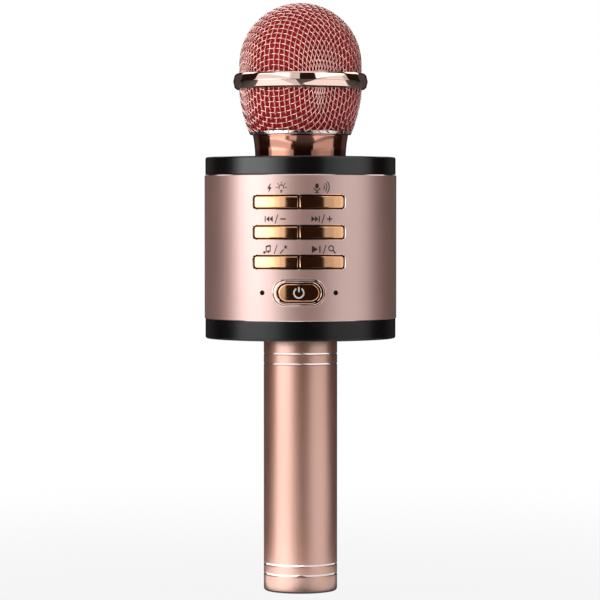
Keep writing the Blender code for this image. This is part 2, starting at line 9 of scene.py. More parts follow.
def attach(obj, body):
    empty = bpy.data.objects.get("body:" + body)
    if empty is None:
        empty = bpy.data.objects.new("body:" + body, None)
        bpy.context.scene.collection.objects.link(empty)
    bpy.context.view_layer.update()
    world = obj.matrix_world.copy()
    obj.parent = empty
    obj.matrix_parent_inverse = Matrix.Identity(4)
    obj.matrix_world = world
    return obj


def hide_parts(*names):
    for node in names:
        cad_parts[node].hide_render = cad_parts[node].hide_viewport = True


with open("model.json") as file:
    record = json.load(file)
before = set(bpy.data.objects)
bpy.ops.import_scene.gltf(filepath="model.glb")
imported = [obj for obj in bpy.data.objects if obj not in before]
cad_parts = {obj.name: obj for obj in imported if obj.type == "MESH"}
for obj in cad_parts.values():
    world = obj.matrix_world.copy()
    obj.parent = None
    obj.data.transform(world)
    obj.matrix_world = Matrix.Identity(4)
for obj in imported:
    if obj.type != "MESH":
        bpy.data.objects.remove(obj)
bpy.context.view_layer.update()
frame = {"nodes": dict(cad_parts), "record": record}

MM = 0.001
scene = bpy.context.scene

# Sizes that the pieces share with the frame, mm.
SHELL_R, SHELL_T, SHELL_Z = 40.8, 1.6, (116.0, 176.7)
ROWS = (165.3, 152.8, 140.5)
SLOT_U, SLOT_H = 19.87, 2.95           # along the shell, and half height
PILL_Z = 127.8
SPOT_U = 15.57
WINDOW_U, WINDOW_Z = 39.16, (122.5, 170.3)
RING_MID = 216.5
DOME_R, DOME_C = 26.05, 223.95
BOWL = ((22.0, 193.6), (22.3, 196.0), (23.3, 198.6), (24.1, 201.2), (24.75, 203.7),
        (25.3, 206.3), (25.75, 208.8), (26.1, 212.6))
NET_TURN = -25.0                       # azimuth of the wire net's own axis, degrees
NET_PITCH, WIRE_R, CRIMP = 2.3, 0.255, 0.26
THREAD = 1.5


# ============================================================ materials
def material(name, base, rough, metal=0.0, vary=0.0, vary_size=8.0, rough_vary=0.0,
             bump=0.0, bump_size=0.3, stretch=(1, 1, 1), second=None, second_size=6.0,
             second_amount=0.0, **sockets):
    """Principled material with noise in its colour, roughness and height.

    Sizes are in mm. Stretch scales the grain along an axis. A second colour
    comes in as soft patches.
    """
    m = bpy.data.materials.new(name)
    m.use_nodes = True
    nt = m.node_tree
    bsdf = nt.nodes["Principled BSDF"]
    bsdf.inputs["Metallic"].default_value = metal
    bsdf.inputs["Roughness"].default_value = rough
    bsdf.inputs["Base Color"].default_value = (*base, 1.0)
    for key, val in sockets.items():
        bsdf.inputs[key.replace("_", " ")].default_value = val
    coord = nt.nodes.new("ShaderNodeTexCoord")

    def grain(size, detail=3.0, scale=(1, 1, 1)):
        mp = nt.nodes.new("ShaderNodeMapping")
        mp.inputs["Scale"].default_value = tuple(1000.0 * s / size for s in scale)
        nt.links.new(coord.outputs["Object"], mp.inputs["Vector"])
        n = nt.nodes.new("ShaderNodeTexNoise")
        n.inputs["Scale"].default_value = 1.0
        n.inputs["Detail"].default_value = detail
        n.inputs["Roughness"].default_value = 0.6
        nt.links.new(mp.outputs["Vector"], n.inputs["Vector"])
        return n.outputs["Fac"]

    if vary or second:
        mix = nt.nodes.new("ShaderNodeMix")
        mix.data_type = "RGBA"
        far = second or tuple(min(1.0, c * (1 + vary)) for c in base)
        near = base if second else tuple(c * (1 - vary) for c in base)
        mix.inputs[6].default_value = (*near, 1.0)
        mix.inputs[7].default_value = (*far, 1.0)
        ramp = nt.nodes.new("ShaderNodeMapRange")
        ramp.inputs["From Min"].default_value = 0.35
        ramp.inputs["From Max"].default_value = 0.65
        ramp.inputs["To Max"].default_value = second_amount if second else 1.0
        nt.links.new(grain(second_size if second else vary_size), ramp.inputs["Value"])
        nt.links.new(ramp.outputs["Result"], mix.inputs[0])
        nt.links.new(mix.outputs[2], bsdf.inputs["Base Color"])
    if rough_vary:
        ramp = nt.nodes.new("ShaderNodeMapRange")
        ramp.inputs["From Min"].default_value = 0.3
        ramp.inputs["From Max"].default_value = 0.7
        ramp.inputs["To Min"].default_value = max(0.0, rough - rough_vary)
        ramp.inputs["To Max"].default_value = rough + rough_vary
        nt.links.new(grain(vary_size * 0.7, 4.0, stretch), ramp.inputs["Value"])
        nt.links.new(ramp.outputs["Result"], bsdf.inputs["Roughness"])
    if bump:
        b = nt.nodes.new("ShaderNodeBump")
        b.inputs["Strength"].default_value = 1.0
        b.inputs["Distance"].default_value = bump * MM
        nt.links.new(grain(bump_size, 2.0, stretch), b.inputs["Height"])
        nt.links.new(b.outputs["Normal"], bsdf.inputs["Normal"])
    return m


def foam_material(name, light, dark):
    """Open-cell foam: pores from Voronoi cells over a soft unevenness."""
    m = material(name, light, 0.92, second=dark, second_size=3.0, second_amount=0.6)
    nt = m.node_tree
    bsdf = nt.nodes["Principled BSDF"]
    coord = nt.nodes["Texture Coordinate"]
    vor = nt.nodes.new("ShaderNodeTexVoronoi")
    vor.inputs["Scale"].default_value = 1600.0
    nt.links.new(coord.outputs["Object"], vor.inputs["Vector"])
    b = nt.nodes.new("ShaderNodeBump")
    b.inputs["Strength"].default_value = 0.9
    b.inputs["Distance"].default_value = 0.25 * MM
    nt.links.new(vor.outputs["Distance"], b.inputs["Height"])
    nt.links.new(b.outputs["Normal"], bsdf.inputs["Normal"])
    bsdf.inputs["Sheen Weight"].default_value = 0.06
    bsdf.inputs["Sheen Roughness"].default_value = 0.5
    bsdf.inputs["Sheen Tint"].default_value = (1.0, 0.35, 0.38, 1.0)
    return m


def board_material(name):
    """Circuit board: solder mask with paler copper runs under it."""
    m = material(name, (0.010, 0.085, 0.035), 0.38, rough_vary=0.06, bump=0.01, bump_size=0.8)
    nt = m.node_tree
    bsdf = nt.nodes["Principled BSDF"]
    coord = nt.nodes["Texture Coordinate"]
    brick = nt.nodes.new("ShaderNodeTexBrick")
    brick.inputs["Scale"].default_value = 260.0
    brick.inputs["Mortar Size"].default_value = 0.03
    brick.inputs["Color1"].default_value = (0.010, 0.085, 0.035, 1)
    brick.inputs["Color2"].default_value = (0.012, 0.105, 0.042, 1)
    brick.inputs["Mortar"].default_value = (0.03, 0.22, 0.09, 1)
    nt.links.new(coord.outputs["Object"], brick.inputs["Vector"])
    nt.links.new(brick.outputs["Color"], bsdf.inputs["Base Color"])
    return m


ROSE = material("satin_rose", (0.74, 0.41, 0.355), 0.52, 1.0, vary=0.015, vary_size=18,
                rough_vary=0.02, bump=0.0012, bump_size=0.22,
                Coat_Weight=1.0, Coat_Roughness=0.36, Coat_IOR=3.2)
COPPER = material("satin_copper", (0.79, 0.355, 0.235), 0.42, 1.0, vary=0.015, vary_size=18,
                  rough_vary=0.02, bump=0.0012, bump_size=0.22,
                  Coat_Weight=1.0, Coat_Roughness=0.28, Coat_IOR=3.0)
CUT = material("diamond_cut", (0.97, 0.93, 0.90), 0.10, 1.0, vary=0.02, vary_size=1.0,
               rough_vary=0.03, bump=0.0008, bump_size=0.15)
PLATED = material("rose_plating", (0.95, 0.70, 0.61), 0.05, 1.0, vary=0.01, vary_size=6,
                  rough_vary=0.015, bump=0.0006, bump_size=1.6)
EDGE = material("polished_edge", (0.97, 0.86, 0.82), 0.14, 1.0, vary=0.02, vary_size=2,
                rough_vary=0.03, bump=0.0006, bump_size=0.2)
COLLAR = material("copper_plating_painted_shade", (0.86, 0.41, 0.30), 0.09, 1.0, vary=0.01, vary_size=6,
                  rough_vary=0.015, bump=0.0006, bump_size=1.6)


def painted_shade_towards_foot(m, z0, z1, low):
    """Paint shade onto a plated face: its colour darkens towards its foot, between two heights in mm, as
    painted shade for the deck round it.
    """
    nt = m.node_tree
    bsdf = nt.nodes["Principled BSDF"]
    colour = bsdf.inputs["Base Color"].links[0].from_socket
    coord = nt.nodes.new("ShaderNodeTexCoord")
    parts = nt.nodes.new("ShaderNodeSeparateXYZ")
    nt.links.new(coord.outputs["Object"], parts.inputs[0])
    ramp = nt.nodes.new("ShaderNodeMapRange")
    ramp.interpolation_type = "SMOOTHSTEP"
    ramp.inputs["From Min"].default_value = z0 * MM
    ramp.inputs["From Max"].default_value = z1 * MM
    ramp.inputs["To Min"].default_value = low
    nt.links.new(parts.outputs["Z"], ramp.inputs["Value"])
    scale = nt.nodes.new("ShaderNodeVectorMath")
    scale.operation = "SCALE"
    nt.links.new(colour, scale.inputs[0])
    nt.links.new(ramp.outputs["Result"], scale.inputs["Scale"])
    nt.links.new(scale.outputs["Vector"], bsdf.inputs["Base Color"])


# Painted shade: the collar's colour darkens over its lowest few mm, next to the top plate.
painted_shade_towards_foot(COLLAR, 186.4, 188.7, 0.46)
GOLD = material("gold_plating", (0.97, 0.54, 0.295), 0.105, 1.0, vary=0.01, vary_size=5,
                rough_vary=0.015, bump=0.0008, bump_size=2.2)
SILVER = material("silver_print", (0.80, 0.76, 0.73), 0.45, 0.25, vary=0.03, vary_size=1.5,
                  rough_vary=0.05, bump=0.001, bump_size=0.15)
WIRE = material("mesh_wire", (1.0, 0.60, 0.55), 0.16, 1.0, vary=0.05, vary_size=3,
                rough_vary=0.07, bump=0.003, bump_size=0.25)
FOAM = foam_material("red_foam", (0.62, 0.018, 0.022), (0.36, 0.006, 0.008))
SMOKE = material("smoked_cover", (0.0022, 0.0022, 0.0024), 0.25, 0.0, vary=0.2, vary_size=20,
                 rough_vary=0.03, bump=0.0015, bump_size=1.2, Coat_Weight=0.5,
                 Coat_Roughness=0.20)
SMOKE_LOW = material("smoked_cover_lower", (0.0022, 0.0022, 0.0024), 0.26, 0.0, vary=0.2,
                     vary_size=20, rough_vary=0.03, bump=0.0015, bump_size=1.2,
                     Coat_Weight=0.02, Coat_Roughness=0.22)
BLACK = material("black_moulding", (0.020, 0.020, 0.021), 0.52, 0.0, vary=0.15, vary_size=9,
                 rough_vary=0.05, bump=0.012, bump_size=0.45)
DARK = material("dark_skirt", (0.008, 0.007, 0.007), 0.70, 0.0, vary=0.15, vary_size=3,
                rough_vary=0.05, bump=0.004, bump_size=0.4)
GREY = material("grey_moulding", (0.22, 0.22, 0.23), 0.50, 0.0, vary=0.08, vary_size=9,
                rough_vary=0.05, bump=0.01, bump_size=0.4)
RUBBER = material("black_rubber", (0.018, 0.018, 0.018), 0.78, 0.0, vary=0.15, vary_size=6,
                  rough_vary=0.06, bump=0.008, bump_size=0.3)
BOARD = board_material("circuit_board")
STEEL = material("plain_steel", (0.62, 0.62, 0.63), 0.30, 1.0, vary=0.06, vary_size=3,
                 rough_vary=0.08, bump=0.002, bump_size=0.25)
NICKEL = material("nickel_plating", (0.78, 0.75, 0.68), 0.18, 1.0, vary=0.04, vary_size=3,
                  rough_vary=0.05, bump=0.001, bump_size=0.5)
PAPER = material("paper_cone", (0.035, 0.035, 0.036), 0.88, 0.0, vary=0.35, vary_size=1.2,
                 rough_vary=0.04, bump=0.03, bump_size=0.5)
CELL = material("cell_sleeve", (0.05, 0.16, 0.42), 0.32, 0.0, vary=0.05, vary_size=12,
                rough_vary=0.04, bump=0.003, bump_size=3.0)
WINDOW = material("dark_window", (0.004, 0.0035, 0.0035), 0.60, 0.0, vary=0.2, vary_size=2,
                  Specular_IOR_Level=0.08)
LENS = material("lens", (0.010, 0.010, 0.012), 0.42, 0.0, vary=0.2, vary_size=2,
                rough_vary=0.02, bump=0.0005, bump_size=0.5)
GRILLE = material("grille_paint", (0.030, 0.027, 0.026), 0.40, 0.0, vary=0.12, vary_size=6,
                  rough_vary=0.06, bump=0.004, bump_size=0.25)
PRINT = material("dark_print", (0.030, 0.014, 0.013), 0.50, 0.0, vary=0.2, vary_size=1.5,
                 rough_vary=0.06, bump=0.001, bump_size=0.12)

LOOKS = {"satin_rose": ROSE, "copper_rose": COPPER, "plated_rose": PLATED, "gold_cap": GOLD,
         "mesh_wire": WIRE, "foam": FOAM, "smoked": SMOKE, "black_plastic": BLACK,
         "grey_plastic": GREY, "rubber": RUBBER, "circuit_board": BOARD, "steel": STEEL,
         "nickel": NICKEL, "paper_cone": PAPER, "cell_wrap": CELL, "lens": LENS,
         "grille_grey": GRILLE}
for sub in frame["record"]["subparts"]:
    node = frame["nodes"][sub["node"]]
    for s in node.material_slots:
        s.material = LOOKS[sub["material_slot"]]


# ============================================================ mesh helpers
def piece(name, mesh, mats, body, slot, *nodes):
    """Links a mesh as a piece that rides on a body and may replace nodes."""
    for m in mats:
        mesh.materials.append(m)
    ob = bpy.data.objects.new(name, mesh)
    scene.collection.objects.link(ob)
    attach(ob, body)
    if nodes:
        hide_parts(*nodes)
    return ob


def smooth(mesh, degrees=32.0):
    mesh.shade_smooth()
    mesh.set_sharp_from_angle(angle=math.radians(degrees))


def lathe_mesh(name, pts, segs, group=None, degrees=32.0):
    """Surface of revolution about Z from (radius, z) points in mm.

    A profile whose ends lie on the axis closes there; any other is a loop.
    """
    area = sum(a[0] * b[1] - b[0] * a[1] for a, b in zip(pts, pts[1:] + pts[:1]))
    if area > 0:
        pts = list(pts)[::-1]
        if group is not None:
            n = len(pts)
            old = group
            group = lambda k, n=n, old=old: old((n - 2 - k) % n)
    capped = pts[0][0] == 0 and pts[-1][0] == 0
    verts, rings = [], []
    for r, z in pts:
        if r == 0:
            rings.append([len(verts)])
            verts.append((0.0, 0.0, z * MM))
            continue
        rings.append(list(range(len(verts), len(verts) + segs)))
        for k in range(segs):
            a = math.tau * k / segs
            verts.append((r * math.sin(a) * MM, -r * math.cos(a) * MM, z * MM))
    faces, ids = [], []
    last = len(pts) - 1 if capped else len(pts)
    for i in range(last):
        a, b = rings[i], rings[(i + 1) % len(pts)]
        g = group(i) if group else 0
        for k in range(segs):
            j = (k + 1) % segs
            if len(a) == 1:
                faces.append((a[0], b[k], b[j]))
            elif len(b) == 1:
                faces.append((a[k], b[0], a[j]))
            else:
                faces.append((a[k], b[k], b[j], a[j]))
            ids.append(g)
    mesh = bpy.data.meshes.new(name)
    mesh.from_pydata(verts, [], faces)
    mesh.polygons.foreach_set("material_index", ids)
    bm = bmesh.new()
    bm.from_mesh(mesh)
    bmesh.ops.recalc_face_normals(bm, faces=bm.faces)
    bm.to_mesh(mesh)
    bm.free()
    smooth(mesh, degrees)
    return mesh


def rounded(x0, x1, y0, y1, radii, n=8):
    pts = []
    corners = ((x0, y0, 180), (x1, y0, 270), (x1, y1, 0), (x0, y1, 90))
    for (x, y, a0), r in zip(corners, radii):
        if r <= 0:
            pts.append((x, y))
            continue
        cx = x + (r if x == x0 else -r)
        cy = y + (r if y == y0 else -r)
        for i in range(n + 1):
            a = math.radians(a0 + 90.0 * i / n)
            pts.append((cx + r * math.cos(a), cy + r * math.sin(a)))
    return pts


def pill(w, h, n=12):
    return rounded(-w, w, -h, h, (h - 0.01,) * 4, n)


def shifted(pts, dx, dy):
    return [(x + dx, y + dy) for x, y in pts]


def circle(r, n=24, cx=0.0, cy=0.0, a0=0.0, a1=360.0):
    full = abs(a1 - a0) >= 360
    k = n if full else n + 1
    return [(cx + r * math.cos(math.radians(a0 + (a1 - a0) * i / n)),
             cy + r * math.sin(math.radians(a0 + (a1 - a0) * i / n))) for i in range(k)]


def turned_to(pts, left):
    area = sum(a[0] * b[1] - b[0] * a[1] for a, b in zip(pts, pts[1:] + pts[:1]))
    return list(pts) if (area > 0) == left else list(pts)[::-1]


def rolled_plate(name, outers, holes, thick, bevel, radius, step=1.4, bevel_steps=0,
                 wrap=False, edge_index=None, back=None):
    """Flat plate with bevelled edges, cut into strips and rolled round the axis.

    Outlines are in mm: x runs round the barrel at its outer radius, y is the
    height. Wrap closes the plate on itself, from -90 degrees all the way round.
    """
    cu = bpy.data.curves.new(name, "CURVE")
    cu.dimensions = "2D"
    cu.fill_mode = "BOTH"
    cu.extrude = (thick / 2 - bevel) * MM
    cu.bevel_depth = bevel * MM
    cu.bevel_resolution = bevel_steps
    cu.offset = -bevel * MM
    for loops, left in ((outers, True), (holes, False)):
        for loop in loops:
            pts = turned_to(loop, left)
            sp = cu.splines.new("POLY")
            sp.points.add(len(pts) - 1)
            for p, (x, y) in zip(sp.points, pts):
                p.co = (x * MM, y * MM, 0.0, 1.0)
            sp.use_cyclic_u = True
    tmp = bpy.data.objects.new(name + "_flat", cu)
    scene.collection.objects.link(tmp)
    mesh = bpy.data.meshes.new_from_object(
        tmp.evaluated_get(bpy.context.evaluated_depsgraph_get()))
    bpy.data.objects.remove(tmp, do_unlink=True)
    mesh.name = name
    mesh.materials.clear()
    bm = bmesh.new()
    bm.from_mesh(mesh)
    bmesh.ops.remove_doubles(bm, verts=bm.verts, dist=2e-7)
    xs = [v.co.x / MM for v in bm.verts]
    lo, hi = min(xs), max(xs)
    if wrap:
        lo, hi = -math.pi / 2 * radius, 1.5 * math.pi * radius
        for x, inner in ((lo, True), (hi, False)):
            bmesh.ops.bisect_plane(bm, geom=bm.verts[:] + bm.edges[:] + bm.faces[:], dist=1e-8,
                                   plane_co=(x * MM, 0, 0), plane_no=(1, 0, 0),
                                   clear_inner=inner, clear_outer=not inner)
    n = max(1, int(math.ceil((hi - lo) / step)))
    for i in range(1, n):
        x = lo + (hi - lo) * i / n
        bmesh.ops.bisect_plane(bm, geom=bm.verts[:] + bm.edges[:] + bm.faces[:], dist=1e-8,
                               plane_co=(x * MM, 0, 0), plane_no=(1, 0, 0))
    top = thick / 2 * MM
    flat = {}
    for f in bm.faces:
        zs = [v.co.z for v in f.verts]
        flat[f.index] = 0
    bm.faces.ensure_lookup_table()
    side = bm.faces.layers.int.new("side")
    for f in bm.faces:
        zs = [v.co.z for v in f.verts]
        f[side] = 1 if min(zs) > top - 1e-8 else (-1 if max(zs) < -top + 1e-8 else 0)
    for v in bm.verts:
        r = radius * MM - top + v.co.z
        a = v.co.x / (radius * MM)
        v.co = Vector((r * math.sin(a), -r * math.cos(a), v.co.y))
    bmesh.ops.remove_doubles(bm, verts=bm.verts, dist=1e-6 if wrap else 1e-7)
    bmesh.ops.recalc_face_normals(bm, faces=bm.faces)
    bm.to_mesh(mesh)
    bm.free()
    sides = np.zeros(len(mesh.polygons), dtype=np.int32)
    mesh.attributes["side"].data.foreach_get("value", sides)
    mesh.shade_smooth()
    mesh.set_sharp_from_angle(angle=math.radians(28))
    auto = [tuple(c.vector) for c in mesh.corner_normals]
    normals = list(auto)
    for poly in mesh.polygons:
        s = sides[poly.index]
        if s:
            for li in poly.loop_indices:
                co = mesh.vertices[mesh.loops[li].vertex_index].co
                v = Vector((co.x, co.y, 0.0)).normalized() * s
                normals[li] = tuple(v)
        if edge_index is not None and s == 0:
            poly.material_index = edge_index
        if back is not None and s == -1:
            poly.material_index = back
    mesh.normals_split_custom_set(normals)
    mesh.attributes.remove(mesh.attributes["side"])
    return mesh


def joined(name, meshes):
    """One mesh from several, with their material indices kept."""
    bm = bmesh.new()
    for m in meshes:
        bm.from_mesh(m)
    out = bpy.data.meshes.new(name)
    bm.to_mesh(out)
    bm.free()
    for m in meshes:
        bpy.data.meshes.remove(m)
    return out


# ============================================================ barrel shell
def slot_outline(grow=0.0):
    return rounded(-SLOT_U - grow, SLOT_U + grow, -SLOT_H - grow, SLOT_H + grow,
                   (1.5 + grow,) * 4)

round_the_back = math.pi * SHELL_R
holes = [shifted(slot_outline(), 0, z) for z in ROWS]
holes.append(shifted(pill(11.03, 5.45), 0, PILL_Z))
holes += [circle(0.82, 24, sx * SPOT_U, PILL_Z) for sx in (-1, 1)]
holes.append(rounded(round_the_back - WINDOW_U, round_the_back + WINDOW_U, WINDOW_Z[0],
                     WINDOW_Z[1], (5.0,) * 4))
full = [(-math.pi / 2 * SHELL_R - 3, SHELL_Z[0]), (1.5 * math.pi * SHELL_R + 3, SHELL_Z[0]),
        (1.5 * math.pi * SHELL_R + 3, SHELL_Z[1]), (-math.pi / 2 * SHELL_R - 3, SHELL_Z[1])]
mesh = rolled_plate("barrel_shell_skin", [full], holes, SHELL_T, 0.22, SHELL_R, step=1.0,
                    wrap=True, edge_index=1)
piece("barrel_shell_skin", mesh, [ROSE, EDGE], "barrel", "satin_rose", "barrel_shell")

# Dark windows over the indicator and the lens.
discs = [circle(0.98, 28, sx * SPOT_U, PILL_Z) for sx in (-1, 1)]
mesh = rolled_plate("spot_windows", discs, [], 0.10, 0.0, SHELL_R + 0.04, step=0.5)
piece("spot_windows", mesh, [WINDOW], "barrel", "lens")

# Rear grille: hexagonal cells, each with a round hole, rolled to the shell.
def perforated(name, u0, u1, z0, z1, pitch, hole_r, thick, radius, centre_u):
    verts, faces, index = [], [], {}
    def vert(x, y, z):
        key = (round(x, 3), round(y, 3), round(z, 3))
        if key not in index:
            index[key] = len(verts)
            verts.append((x, y, z))
        return index[key]
    side = pitch / math.sqrt(3)
    rows = int((z1 - z0) / (1.5 * side))
    cols = int((u1 - u0) / pitch)
    for j in range(rows):
        for i in range(cols):
            cx = u0 + (i + 0.5 + 0.5 * (j % 2)) * pitch
            cy = z0 + side + j * 1.5 * side
            rim, hole = [], []
            for k in range(6):
                a0, a1 = math.radians(30 + 60 * k), math.radians(90 + 60 * k)
                p0 = (cx + side * math.cos(a0), cy + side * math.sin(a0))
                p1 = (cx + side * math.cos(a1), cy + side * math.sin(a1))
                rim += [p0, ((p0[0] + p1[0]) / 2, (p0[1] + p1[1]) / 2)]
            hole = [(cx + hole_r * math.cos(math.radians(30 + 30 * k)),
                     cy + hole_r * math.sin(math.radians(30 + 30 * k))) for k in range(12)]
            for k in range(12):
                m = (k + 1) % 12
                f = [vert(*rim[k], 0), vert(*rim[m], 0), vert(*hole[m], 0), vert(*hole[k], 0)]
                b = [vert(*rim[k], -thick), vert(*rim[m], -thick), vert(*hole[m], -thick),
                     vert(*hole[k], -thick)]
                faces.append((f[0], f[1], f[2], f[3]))
                faces.append((b[3], b[2], b[1], b[0]))
                faces.append((f[3], f[2], b[2], b[3]))
    # Rim walls close the plate's outside.
    used = {}
    for f in faces:
        for a, b in zip(f, f[1:] + f[:1]):
            used[(a, b)] = used.get((a, b), 0) + 1
    for (a, b) in [e for e in used if (e[1], e[0]) not in used]:
        if verts[a][2] == 0 and verts[b][2] == 0:
            a2 = index[(round(verts[a][0], 3), round(verts[a][1], 3), round(-thick, 3))]
            b2 = index[(round(verts[b][0], 3), round(verts[b][1], 3), round(-thick, 3))]
            faces.append((b, a, a2, b2))
    mesh = bpy.data.meshes.new(name)
    rolled = []
    for x, y, z in verts:
        a = (x + centre_u) / radius
        r = radius + z
        rolled.append((r * math.sin(a) * MM, -r * math.cos(a) * MM, y * MM))
    mesh.from_pydata(rolled, [], faces)
    smooth(mesh, 30)
    return mesh

GR_R = 38.9
mesh = perforated("rear_grille", -41.4, 41.4, 120.3, 172.9, 2.15, 0.72, 1.0, GR_R, math.pi * GR_R)
piece("rear_grille", mesh, [GRILLE], "barrel", "grille_grey", "speaker_grille")

# Bands: smoked covers with soft corners and a fine step where the shell starts.
mesh = lathe_mesh("lower_band", [
    (40.40, 115.70), (40.45, 115.55), (40.45, 115.40), (40.45, 108.60), (40.45, 108.45),
    (40.38, 108.05), (40.18, 107.78),
    (39.9, 107.62), (39.6, 107.60), (37.6, 107.60), (37.6, 118.3), (38.8, 118.3), (38.8, 115.70)],
    256)
piece("lower_band", mesh, [SMOKE_LOW], "barrel", "smoked", "light_band_bottom")
mesh = lathe_mesh("upper_band", [
    (39.6, 184.40), (39.9, 184.38), (40.18, 184.22), (40.38, 183.95), (40.45, 183.55),
    (40.45, 183.40), (40.45, 177.30), (40.45, 177.15), (40.40, 177.0), (38.8, 177.0), (38.8, 174.4), (37.6, 174.4), (37.6, 184.40)],
    256)
piece("upper_band", mesh, [SMOKE], "barrel", "smoked", "light_band_top")
mesh = lathe_mesh("top_plate", [
    (16.6, 184.0), (17.0, 184.1), (22.2, 184.1), (22.4, 183.9), (22.8, 183.9), (23.0, 184.1),
    (36.7, 184.1), (37.1, 184.0), (37.3, 183.7), (37.3, 182.3), (16.6, 182.3)], 192)
piece("top_plate", mesh, [BLACK], "barrel", "black_plastic", "top_cover")


# ============================================================ buttons
def cap_mesh(name, u0, u1, z, half, radii, face_r=40.95, bevel=0.42):
    """Gold face with soft bevels on a dark skirt, and a stem behind it."""
    face = rolled_plate(name, [rounded(u0, u1, z - half, z + half, radii)], [], 2.4, bevel,
                        face_r, step=0.9, bevel_steps=1)
    skirt = rolled_plate(name + "_skirt",
                         [rounded(u0 - 0.5 if u0 < -1 else u0 + 0.62,
                                  u1 + 0.5 if u1 > 1 else u1 - 0.62,
                                  z - half - 1.4, z + half + 1.4, (1.2,) * 4, 4)],
                         [], 1.5, 0.15, 38.5, step=1.4)
    for p in skirt.polygons:
        p.material_index = 1
    mid = (u0 + u1) / 2 / face_r
    x, y0 = face_r * math.sin(mid), -37.2
    bm = bmesh.new()
    bmesh.ops.create_cone(bm, cap_ends=True, segments=24, radius1=1.5 * MM, radius2=1.5 * MM,
                          depth=5.6 * MM,
                          matrix=Matrix.Translation(Vector((x, -34.05, z)) * MM)
                          @ Matrix.Rotation(math.pi / 2, 4, "X"))
    stem = bpy.data.meshes.new(name + "_stem")
    bm.to_mesh(stem)
    bm.free()
    for p in stem.polygons:
        p.material_index = 1
        p.use_smooth = len(p.vertices) == 4
    # Normals of the rolled face are kept, so it stays a mesh of its own.
    return face, joined(name + "_skirt", [skirt, stem])


edge, mid = SLOT_U - 0.58, 0.30
names = (("flash", "echo"), ("previous", "next"), ("music", "play"))
for (left, right), z in zip(names, ROWS):
    for word, u0, u1, radii in ((left, -edge, -mid, (1.15, 0.12, 0.12, 1.15)),
                                (right, mid, edge, (0.12, 1.15, 1.15, 0.12))):
        face, skirt = cap_mesh(word + "_cap", u0, u1, z, SLOT_H - 0.55, radii)
        piece(word + "_cap", face, [GOLD], word + "_push", "gold_cap", word + "_button")
        piece(word + "_cap_skirt", skirt, [DARK, DARK], word + "_push", "black_plastic")

face = rolled_plate("power_cap", [shifted(pill(8.7, 3.65), 0, PILL_Z)], [], 2.4, 0.55, 41.0,
                    step=0.8, bevel_steps=2)
piece("power_cap", face, [GOLD], "power_push", "gold_cap", "power_button")
skirt = rolled_plate("power_cap_skirt", [shifted(pill(9.8, 4.8), 0, PILL_Z)], [], 1.5, 0.15, 38.5)
bm = bmesh.new()
bmesh.ops.create_cone(bm, cap_ends=True, segments=24, radius1=1.5 * MM, radius2=1.5 * MM,
                      depth=6.4 * MM, matrix=Matrix.Translation(Vector((0, -34.3, PILL_Z)) * MM)
                      @ Matrix.Rotation(math.pi / 2, 4, "X"))
stem = bpy.data.meshes.new("power_stem")
bm.to_mesh(stem)
bm.free()
piece("power_cap_skirt", joined("power_cap_skirt", [skirt, stem]), [DARK], "power_push",
      "black_plastic")

face = rolled_plate("power_rim", [shifted(pill(10.72, 5.15), 0, PILL_Z)],
                    [shifted(pill(9.24, 4.17), 0, PILL_Z)], 2.1, 0.36, 41.25, step=0.8,
                    bevel_steps=2)
piece("power_rim", face, [PLATED], "barrel", "plated_rose", "power_bezel")


# ---- printed symbols ------------------------------------------------------------
def stroke(x0, y0, x1, y1, w=0.34):
    """Straight line with square ends, as an outline."""
    dx, dy = x1 - x0, y1 - y0
    ln = math.hypot(dx, dy)
    nx, ny = -dy / ln * w / 2, dx / ln * w / 2
    return [(x0 + nx, y0 + ny), (x0 - nx, y0 - ny), (x1 - nx, y1 - ny), (x1 + nx, y1 + ny)]


def arc_band(r0, r1, a0, a1, cx=0.0, cy=0.0, n=14):
    return circle(r1, n, cx, cy, a0, a1) + circle(r0, n, cx, cy, a0, a1)[::-1]


def star(r, cx, cy, inner=0.42):
    return [(cx + r * (1 if k % 2 == 0 else inner) * math.cos(math.radians(90 + 36 * k)),
             cy + r * (1 if k % 2 == 0 else inner) * math.sin(math.radians(90 + 36 * k)))
            for k in range(10)]


def triangle(cx, cy, w, h, right=True):
    s = 1 if right else -1
    return [(cx - s * w / 2, cy - h / 2), (cx + s * w / 2, cy), (cx - s * w / 2, cy + h / 2)]


bolt = [(0.25, 1.45), (-0.75, -0.15), (-0.12, -0.15), (-0.35, -1.45), (0.75, 0.30), (0.10, 0.30),
        (0.55, 1.45)]
flash_icon = [shifted(bolt, -1.9, 0)]
flash_icon += [arc_band(0.62, 0.95, -30, 210, 2.0, 0.25, 16), stroke(1.62, -0.75, 2.38, -0.75),
               stroke(1.72, -1.2, 2.28, -1.2)]
flash_icon += [stroke(2.0 + 1.25 * math.cos(math.radians(a)), 0.25 + 1.25 * math.sin(math.radians(a)),
                      2.0 + 1.75 * math.cos(math.radians(a)), 0.25 + 1.75 * math.sin(math.radians(a)),
                      0.28) for a in (0, 45, 90, 135, 180)]
mic_icon = [rounded(-0.55, 0.55, -0.1, 1.5, (0.54,) * 4, 6), arc_band(0.85, 1.15, 190, 350, 0, 0.35),
            stroke(0, -0.75, 0, -1.25, 0.32), stroke(-0.6, -1.35, 0.6, -1.35, 0.3)]
mic_icon = [shifted(p, -2.2, 0) for p in mic_icon]
mic_icon += [arc_band(0.9, 1.2, -42, 42, -0.9, 0.3), arc_band(1.7, 2.0, -42, 42, -0.9, 0.3),
             arc_band(2.5, 2.8, -42, 42, -0.9, 0.3)]
slash = stroke(-0.45, -1.4, 0.45, 1.4, 0.28)
back_icon = [stroke(-3.6, -0.95, -3.6, 0.95), triangle(-2.75, 0, 1.1, 1.9, False),
             triangle(-1.65, 0, 1.1, 1.9, False), shifted(slash, 0.1, 0),
             stroke(1.3, 0, 3.1, 0, 0.4)]
